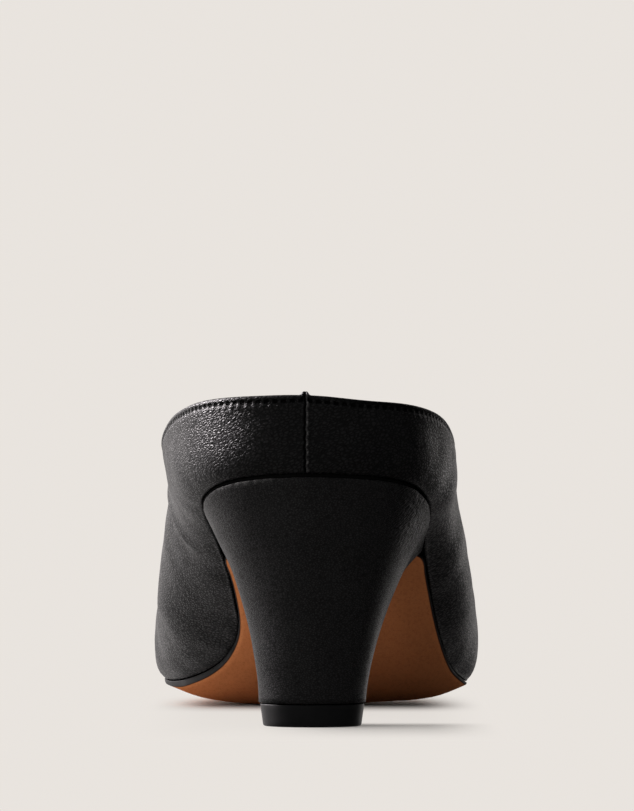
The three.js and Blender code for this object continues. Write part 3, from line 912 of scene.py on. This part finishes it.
def capsule(start, end, normal):
    """Points and faces of one stitch, a short rounded thread lying between two points."""
    way = unit(end - start)
    side = unit(np.cross(way, normal))
    stations = ((0.0, 0.25), (0.12, 0.8), (0.5, 1.0), (0.88, 0.8), (1.0, 0.25))
    points = []
    for share, width in stations:
        middle = start + (end - start) * share - normal * THREAD * 0.28 * (2 * share - 1) ** 2
        for n in range(STITCH_SIDES):
            angle = 2 * math.pi * n / STITCH_SIDES
            ring = side * math.cos(angle) + normal * math.sin(angle)
            points.append(middle + ring * THREAD / 2 * width)
    faces = ring_faces(len(stations), STITCH_SIDES)
    faces.append(tuple(range(STITCH_SIDES - 1, -1, -1)))
    faces.append(tuple(range(len(points) - STITCH_SIDES, len(points))))
    return points, faces


def make_stitches(line, way, normals):
    """The row of stitches under the topline, on both sides from the back seam to the throat."""
    total = way[-1]

    def spot(values, place):
        closed = np.concatenate([values, values[:1]])
        return np.array([np.interp(place, way, closed[:, n]) for n in range(3)])

    points = []
    faces = []
    for side in (1, -1):
        for k in range(int(total / 2 / STITCH_PITCH)):
            middle = (k + 0.5) * STITCH_PITCH
            places = (middle - STITCH_LENGTH / 2, middle, middle + STITCH_LENGTH / 2)
            if places[0] < STITCH_CLEAR:
                continue
            start, middle, end = (place if side > 0 else total - place for place in places)
            normal = unit(spot(normals, middle))
            sink = normal * STITCH_SINK
            more, quads = capsule(spot(line, start) - sink, spot(line, end) - sink, normal)
            faces += [tuple(i + len(points) for i in quad) for quad in quads]
            points += more
    piece = make_object("topline_stitches", points, faces, [thread])
    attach(piece, "root")


# Heel and top lift


def corner_rings(grid, places_round, corner_round):
    """Finer rings, with the two corners at the breast kept and then rounded a little."""
    top = grid[-1]
    front = np.flatnonzero(top[:, 1] > top[:, 1].max() - 0.4 * MM)
    left, right = front[top[front, 0].argmin()], front[top[front, 0].argmax()]
    breast = grid[:, right : left + 1]
    rest = np.concatenate([grid[:, left:], grid[:, : right + 1]], axis=1)
    fine = []
    for part, count in ((rest, places_round), (breast, places_round // 3)):
        knots = lengths(part, 1).mean(0)
        spots = np.linspace(0, knots[-1], count + 1)
        fine.append(spline_across(part, knots, spots)[:, :-1])
    rings = np.concatenate(fine, axis=1)
    near = np.zeros(rings.shape[1])
    for corner in (0, places_round):
        away = np.abs(np.arange(len(near)) - corner)
        away = np.minimum(away, len(near) - away)
        near = np.maximum(near, np.clip(1.4 - away / 8, 0, 1))
    near[:places_round] = 1
    for _ in range(corner_round):
        even = (np.roll(rings, 1, axis=1) + np.roll(rings, -1, axis=1)) / 2
        rings += (even - rings) * 0.5 * near[None, :, None]
    return rings


def lid(ring, first, after, rows, height_of=None):
    """Points and faces that close a ring with smaller rings and a middle point.

    The ring's own points start at index first, and the new ones at index after.
    """
    count = len(ring)
    middle = ring.mean(0)
    points = [ring + (middle - ring) * n / rows for n in range(1, rows)]
    points = np.concatenate(points + [middle[None]])
    if height_of is not None:
        points[:, 2] = height_of(points[:, 1])
    loops = [index_loop(start, count) for start in [first] + [after + n * count for n in range(rows - 1)]]
    last = loops[-1]
    tip = after + len(points) - 1
    return points, loop_faces(loops) + [(a, b, tip) for a, b in zip(last, last[1:] + last[:1])]


def closed_rings(name, rings, slots, height_of=None, values=None):
    """A body through rings of points, closed by a lid at each end."""
    rows, count = rings.shape[:2]
    points = rings.reshape(-1, 3)
    faces = ring_faces(rows, count)
    low_points, low_faces = lid(rings[0], 0, len(points), 4)
    faces += [face[::-1] for face in low_faces]
    points = np.concatenate([points, low_points])
    high_points, high_faces = lid(rings[-1], (rows - 1) * count, len(points), 8, height_of)
    points = np.concatenate([points, high_points])
    more = np.zeros(len(points) - rows * count)
    values = {key: np.concatenate([numbers.ravel(), more]) for key, numbers in (values or {}).items()}
    return make_object(name, points, faces + high_faces, slots, None, values)


def read_column(node):
    """Rings of an upright CAD solid, from the rim of its flat foot to the rim of its top."""
    mesh = solid(node)
    lowest = min(mesh.faces, key=lambda f: f.calc_center_median().z)
    foot = patch_from(lowest, FOOT_BEND)
    highest = max(mesh.faces, key=lambda f: f.calc_center_median().z + MM * f.normal.z)
    top = patch_from(highest, PLATE_BEND)
    grid = rings_from(turned(rims_of(foot)[0], -1), set(mesh.faces) - foot - top)
    mesh.free()
    return grid


def heel_skin(grid):
    """Rings of the heel cover up to its rounded upper edge, and how far each is below the top."""
    rings = corner_rings(grid, HEEL_PLACES, 10)
    knots = lengths(rings[:-1], 0).mean(1)
    body = spline(rings[:-1], knots, np.linspace(0, knots[-1], round(knots[-1] / HEEL_ROW_STEP)))
    inward = rings[-1] - rings[-2]
    rise = inward * (0, 0, 1)
    level = inward - rise
    turns = np.linspace(0, math.pi / 2, 6)[1:]
    lip = [rings[-2] + level * (1 - math.cos(a)) ** 1.6 + rise * math.sin(a) ** 0.6 for a in turns]
    skin = np.concatenate([body, lip])
    from_top = lengths(skin[::-1], 0)[::-1]
    skin[..., 2] -= back_drop(skin) * np.clip(1 - from_top / (25 * MM), 0, 1) ** 2
    draw_in = read_pairs(HEEL_DRAW, skin[..., 2])
    skin[..., 0] += draw_in * np.clip(-skin[..., 0] / (14 * MM), 0, 1)
    return skin, from_top


def make_heel():
    grid = read_column("heel")
    skin, from_top = heel_skin(grid)
    normals = grid_normals(skin)
    soft = 0.1 * MM * waves(skin, 14 * MM, 2.3)
    gathers = GATHERS * waves(skin * (1, 1, 0.35), 2.4 * MM, 5.9) * bell(from_top, 2.2 * MM)
    folds = np.clip(0.5 + waves(skin * (1, 1, 0.2), 1.1 * MM, 8.3), 0, 1)
    values = {
        "pleated": falling(21 * MM - skin[..., 0], 8 * MM) * falling(from_top - 6 * MM, 14 * MM),
        # Painted highlight along the heel's top lip, on its left side only
        "lip_highlight": bell(from_top - 0.7 * MM, 0.5 * MM) * bell(skin[..., 0] + 20 * MM, 8 * MM) * folds,
    }
    seat = grid[-1, : grid.shape[1] // 2]
    seat = seat[seat[:, 1].argsort()]
    piece = closed_rings(
        "heel_cover", skin + (soft + gathers)[..., None] * normals, [heel_leather],
        lambda y: np.interp(y, seat[:, 1], seat[:, 2]), values,
    )
    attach(piece, "root")
    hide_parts("heel")


def make_lift():
    foot, top = corner_rings(read_column("top_lift"), LIFT_PLACES, 4)
    middle = np.array([foot, top]).mean((0, 1))
    inward = unit((middle - foot) * (1, 1, 0))
    up = unit(top - foot)
    small = LIFT_ROUND * LIFT_TOP_SHARE
    turns = np.linspace(0, math.pi / 2, 4)
    rows = [rounded(foot, -inward, -up, LIFT_ROUND, a) for a in turns]
    rows += [foot + (top - foot) * share for share in (0.25, 0.5, 0.75)]
    rows += [rounded(top, up, -inward, small, a) for a in turns]
    piece = closed_rings("lift_tip", np.array(rows), [rubber])
    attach(piece, "root")
    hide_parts("top_lift")


# Outsole and insole


def side_chains(rim):
    """The right and left edge of a plate, from its back to its toe, as two lists that pair up."""
    points = [v.co.copy() for v in rim]
    back = min(p.y for p in points)
    row = sum(p.y < back + 0.05 * MM for p in points)
    between = row - 2 if row > 2 else 0
    count = (len(points) - between) // 2
    right = points[: count + 1]
    left = [points[0]] + points[: -count - 1 : -1]
    return np.array(right[::-1]), np.array(left[::-1])


def plate_grid(patch, tree, upward, across):
    """A fine grid over the top or underside of a plate, smoothed across the solid's facets."""
    right, left = side_chains(turned(rims_of(patch)[0], 1))
    last = len(right) - 1
    pointed = np.linalg.norm(right[0] - left[0]) < 0.1 * MM
    chain = np.concatenate([right, left[-2::-1]])
    knots = lengths(chain, 0)
    period = knots[-1] if pointed else None
    tip = np.array([0.03, 0.12, 0.3, 0.6])
    inner = np.linspace(1, last - 1, (last - 2) * ROWS_PER_POINT + 1)
    back = tip if pointed else np.array([0, 0.3, 0.6])
    spots = np.concatenate([back, inner, last - tip[::-1]])
    index = np.arange(2 * last + 1)
    ends = slice(0, -1) if pointed else slice(None)
    right = spline(chain[ends], knots[ends], np.interp(spots, index, knots), period)
    left = spline(chain[ends], knots[ends], np.interp(2 * last - spots, index, knots), period)
    share = np.linspace(0, 1, across + 1)[None, :, None]
    grid = right[:, None] * (1 - share) + left[:, None] * share
    for row in grid:
        drop_on(row[1:-1], tree, upward)
    for _ in range(10):
        z = grid[..., 2]
        even = (z[2:, 1:-1] + z[:-2, 1:-1] + z[1:-1, 2:] + z[1:-1, :-2]) / 4
        z[1:-1, 1:-1] += (even - z[1:-1, 1:-1]) * 0.7
    return grid


def rim_indices(rows, columns):
    """Round the edge of a grid: up the right side, across the toe, down the left and back."""
    index = np.arange(rows * columns).reshape(rows, columns)
    return np.concatenate([index[:, 0], index[-1, 1:-1], index[::-1, -1], index[0, -2:0:-1]]).tolist()


def distance_from_edge(grid):
    """Each point's distance from the sides and the toe of a plate."""
    columns = grid.shape[1]
    width = np.linalg.norm(grid[:, :1] - grid[:, -1:], axis=-1)
    share = np.linspace(0, 1, columns)[None]
    from_toe = np.linalg.norm(grid - grid[-1, columns // 2], axis=-1)
    return np.minimum(np.minimum(share, 1 - share) * width, from_toe)


def plate(name, under, over, bulge, slots, top_rim_slot):
    """A closed plate between two grids. Its rounded edge is in slot 1, the rim of its top in its own."""
    rows, columns = under.shape[:2]
    rim = rim_indices(rows, columns)
    low = under.reshape(-1, 3)
    high = over.reshape(-1, 3)
    count = len(low)
    steps = np.linspace(0, 1, BAND_ROWS + 2)[1:-1]
    tangent = np.roll(low[rim], -1, axis=0) - np.roll(low[rim], 1, axis=0)
    outward = unit(np.cross(tangent, (0, 0, 1.0)))
    band = [low[rim] * (1 - s) + high[rim] * s + outward * bulge * math.sin(math.pi * s) for s in steps]
    points = np.concatenate([low, high] + band)
    faces = []
    slot_of_face = []
    for r in range(rows - 1):
        for c in range(columns - 1):
            a = r * columns + c
            quad = (a, a + 1, a + 1 + columns, a + columns)
            faces += [quad, tuple(count + i for i in quad[::-1])]
            at_rim = min(r, rows - 2 - r, c, columns - 2 - c) < 2
            slot_of_face += [0, top_rim_slot if at_rim else 0]
    loops = [index_loop(2 * count + n * len(rim), len(rim)) for n in range(BAND_ROWS)]
    edge = loop_faces([rim] + loops + [[count + i for i in rim]])
    faces += edge
    slot_of_face += [1] * len(edge)
    from_edge = np.full(len(points), FAR)
    from_edge[:count] = distance_from_edge(under).ravel()
    piece = make_object(name, points, faces, slots, slot_of_face, {"from_edge": from_edge})
    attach(piece, "root")
    return piece


def read_plate(node, across):
    """Grids over the underside and the top of a plate-like CAD solid."""
    mesh = solid(node)
    tree = BVHTree.FromBMesh(mesh)
    middle = [f for f in mesh.faces if abs(f.calc_center_median().y) < 20 * MM]
    top = patch_from(max(middle, key=lambda f: f.normal.z), PLATE_BEND)
    over = plate_grid(top, tree, False, across)
    under = plate_grid(set(mesh.faces) - top - band_beside(top), tree, True, across)
    mesh.free()
    return under, over


def thin_edge(under, over):
    """The underside with its rim drawn up and out, so that the edge is thin, most of all at the waist."""
    under = under.copy()
    share = np.linspace(0, 1, under.shape[1])[None]
    width = np.linalg.norm(under[:, :1] - under[:, -1:], axis=-1)
    for side, place, thickness in ((0, share, EDGE_RIGHT), (-1, 1 - share, EDGE_LEFT)):
        away = place * width
        gap = over[:, side, 2] - under[:, side, 2] - read_pairs(thickness, under[:, side, 1])
        out = over[:, side] - under[:, side]
        under[..., 2] += gap[:, None] * np.clip(1 - away / THIN_REACH, 0, 1) ** 2
        under[..., :2] += 0.7 * out[:, None, :2] * falling(away, LEAN_REACH)[..., None]
    return under


def make_outsole():
    under, over = read_plate("outsole", OUTSOLE_COLUMNS)
    over = over + (0, 0, OUTSOLE_RAISE)
    over[..., 2] -= ball_drop(over)
    under[..., 2] = np.maximum(under[..., 2] - ball_drop(under), np.minimum(under[..., 2], FLOOR_GAP))
    under = thin_edge(under, over)
    piece = plate("outsole_leather", under, over, OUTSOLE_BULGE, [tan, edge_paint], 1)
    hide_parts("outsole")


def make_insole():
    under, over = read_plate("insole", INSOLE_COLUMNS)
    piece = plate("insole_sock", under, over, INSOLE_BULGE, [lining_leather, edge_paint], 0)
    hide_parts("insole")


# Stage, light and camera


def make_stage():
    """A pale paper floor. The camera sees its own shade where shown is 1, and a flat tone elsewhere."""
    mat, tree, shader = material("studio_paper")
    place = tree.coordinate()
    axes = tree.axes(place)
    seen = tree.add("LightPath", {}).outputs["Is Camera Ray"]
    # Painted light and shade for rays from the shoe: the floor's colour is brighter on the left and
    # darker on the right
    bounce = tree.ramp(axes["X"], *BOUNCE_TURN, BOUNCE_LEFT, BOUNCE_RIGHT)
    shown = tree.ramp(tree.math("ABSOLUTE", axes["X"]), *SHADE_SIDES, 1.0, 0.0)
    ball = tree.ramp(axes["Y"], *SHADE_BALL, SHADE_ARCH, 1.0)
    heel = tree.ramp(axes["Y"], *SHADE_HEEL, 1.0, 0.0)
    heel = tree.times(heel, tree.ramp(axes["X"], *SHADE_HEEL_SIDE))
    shown = tree.times(shown, tree.math("MAXIMUM", ball, heel))
    shown = tree.times(shown, tree.ramp(axes["Y"], *SHADE_BEHIND))
    level = tree.add("Mix", {0: seen, 2: bounce, 3: shown}).outputs[0]
    tone = tree.mix(tree.noise(place, 0.4), *FLOOR_TONES)
    scaled = tree.add("VectorMath", {0: tone, "Scale": level}, operation="SCALE")
    flat = tree.times(tree.math("SUBTRACT", 1.0, shown), seen)
    tree.fill(shader, {"Base Color": scaled.outputs[0]})
    tree.fill(shader, {"Emission Color": BACKDROP, "Emission Strength": flat})
    shader.inputs["Roughness"].default_value = 1.0
    shader.inputs["Specular IOR Level"].default_value = 0.0
    points = [(x, y, 0.0) for y in FLOOR_ROWS for x in FLOOR_SIDES]
    floor = make_object("studio_floor", points, [(0, 1, 3, 2), (2, 3, 5, 4)], [mat])
    floor.visible_glossy = False


def aim(lamp, way):
    lamp.rotation_euler = Vector(way).to_track_quat("-Z", "Y").to_euler()


def make_lights():
    """A wide soft sun, which gives the shade its way, and soft boxes that only shine shows."""
    for name, place, size, power, color in LIGHTS:
        data = bpy.data.lights.new(name, "AREA")
        data.shape = "RECTANGLE"
        data.size, data.size_y = size
        data.energy = power
        data.color = color
        lamp = link_object(name, data)
        lamp.location = place
        lamp.visible_diffuse = False
        aim(lamp, Vector(LIT_PLACE) - Vector(place))
    data = bpy.data.lights.new("sun", "SUN")
    data.energy = SUN_STRENGTH
    data.angle = math.radians(SUN_SPREAD)
    lamp = link_object("sun", data)
    lamp.visible_glossy = False
    aim(lamp, -Vector(SUN_FROM))


def make_world():
    """A pale dome, which lights everything, and a dark room, which shiny surfaces see instead."""
    world = bpy.data.worlds.new("studio")
    bpy.context.scene.world = world
    world.cycles.sampling_method = "NONE"
    tree = Tree(world)
    way = tree.coordinate("Generated")
    axes = tree.axes(way)
    far = tree.ramp(tree.dot(way, ROOM_WAY), *ROOM_SPREAD)
    sides = tree.times(tree.ramp(axes["Z"], *ROOM_RISE), tree.ramp(axes["X"], *ROOM_SIDE))
    room = tree.mix(tree.times(far, sides), ROOM_NEAR, ROOM_FAR)
    from_zenith = tree.math("SUBTRACT", 1.0, axes["Z"])
    rise = tree.times(from_zenith, from_zenith)
    rise = tree.math("MULTIPLY_ADD", rise, DOME_RIM, DOME_ZENITH)
    leaning = tree.math("MULTIPLY_ADD", tree.dot(way, DOME_LEAN), DOME, DOME)
    dome = tree.times(tree.math("MAXIMUM", leaning, 0.0), rise)
    path = tree.add("LightPath", {})
    shone = tree.mix(path.outputs["Is Glossy Ray"], dome, room)
    seen = tree.mix(path.outputs["Is Camera Ray"], shone, BACKDROP)
    tree.fill(tree.nodes["Background"], {"Color": seen})


def make_camera():
    """The photograph's camera. Its sensor is measured along the picture's longer side, the height."""
    data = bpy.data.cameras.new("camera")
    data.lens = FOCAL_PIXELS * SENSOR_MM / PHOTO_HEIGHT
    data.sensor_width = SENSOR_MM
    data.clip_start = 0.1
    data.clip_end = 60
    camera = link_object("camera", data)
    camera.location = (CAMERA_ASIDE, cad_bounds[0].y + SEAM_RAISE - CAMERA_BEHIND, CAMERA_HEIGHT)
    pitch = math.atan((HORIZON_ROW + 0.5 - PHOTO_HEIGHT / 2) / FOCAL_PIXELS)
    camera.rotation_euler = (math.pi / 2 + pitch, 0, 0)
    bpy.context.scene.camera = camera


make_camera()
make_world()
make_stage()
make_lights()
make_upper()
make_heel()
make_lift()
make_outsole()
make_insole()

bpy.context.scene.view_settings.view_transform = "Standard"
